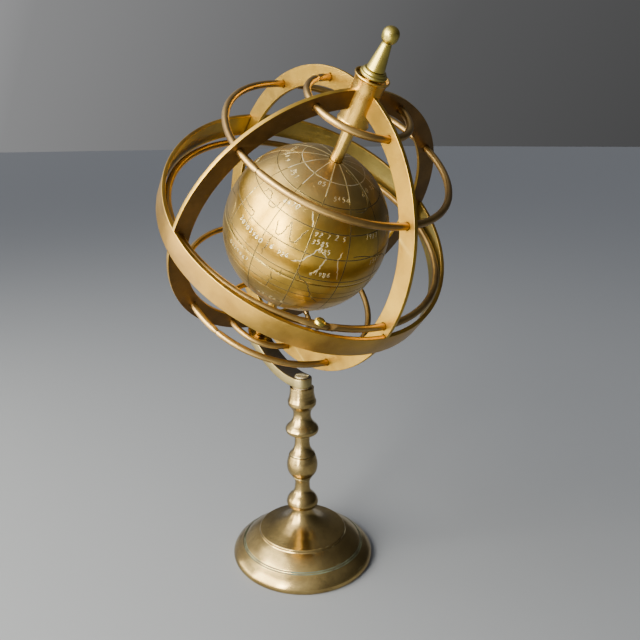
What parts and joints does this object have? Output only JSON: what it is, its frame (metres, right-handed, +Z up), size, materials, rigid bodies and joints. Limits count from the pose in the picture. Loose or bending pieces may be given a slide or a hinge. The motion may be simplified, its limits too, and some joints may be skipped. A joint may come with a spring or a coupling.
{
  "type": "celestial globe",
  "caption": "Engraved brass globe turning on a tilted rod inside an open armillary cage of plates, wires and a flat band, on a curved arm and turned column with a round foot.",
  "frame": {"origin": "centre of the foot's underside, on the column axis", "axes": "+Z up the column; the polar axis leans from +Z toward +X in the XZ plane"},
  "size_m": [0.1794, 0.1792, 0.3303],
  "materials": {
    "cast_brass": "aged satin, turned",
    "dark_brass": "dark patina",
    "sheet_brass": "satin, tarnished gold",
    "wire_brass": "satin, brownish",
    "globe_brass": "polished with patina and engraving",
    "pale_brass": "bright, worn",
    "steel": "dull zinc"
  },
  "bodies": {
    "stand": {"base_foot": "cast_brass", "base_disc": "dark_brass", "base_washer": "steel", "base_nut": "steel", "tie_rod": "steel", "column_lower_collar": "cast_brass", "column_baluster": "cast_brass", "column_upper_collar": "cast_brass", "column_cup": "cast_brass", "arm_washer": "pale_brass", "arm_screw": "pale_brass"},
    "arm": {"arm": "dark_brass"},
    "cage": {"axis_rod": "sheet_brass", "polar_nut": "dark_brass", "polar_washer": "pale_brass", "finial_collar": "pale_brass", "finial": "pale_brass", "north_sleeve": "sheet_brass", "south_sleeve": "sheet_brass", "colure_front": "sheet_brass", "colure_right": "sheet_brass", "colure_back": "sheet_brass", "colure_left": "sheet_brass", "zodiac_band": "sheet_brass", "arctic_wire": "wire_brass", "north_tropic_wire": "wire_brass", "equator_wire": "wire_brass", "south_tropic_wire": "wire_brass", "antarctic_wire": "wire_brass", "equator_rivet": "pale_brass", "globe_stop": "sheet_brass"},
    "globe": {"globe_upper": "globe_brass", "globe_lower": "globe_brass", "globe_seam_ring": "sheet_brass", "globe_bush_upper": "sheet_brass", "globe_bush_lower": "sheet_brass"}
  },
  "joints": [
    {"name": "arm_swivel", "type": "hinge", "parent": "stand", "child": "arm", "pos_m": [0, 0, 0.1231], "axis": [0, 0, 1], "continuous": true},
    {"name": "cage_turn", "type": "hinge", "parent": "arm", "child": "cage", "pos_m": [-0.04981, 0, 0.14704], "axis": [0.5693, 0, 0.8221], "continuous": true},
    {"name": "globe_spin", "type": "hinge", "parent": "cage", "child": "globe", "pos_m": [0.00492, 0, 0.22609], "axis": [0.5693, 0, 0.8221], "continuous": true}
  ]
}
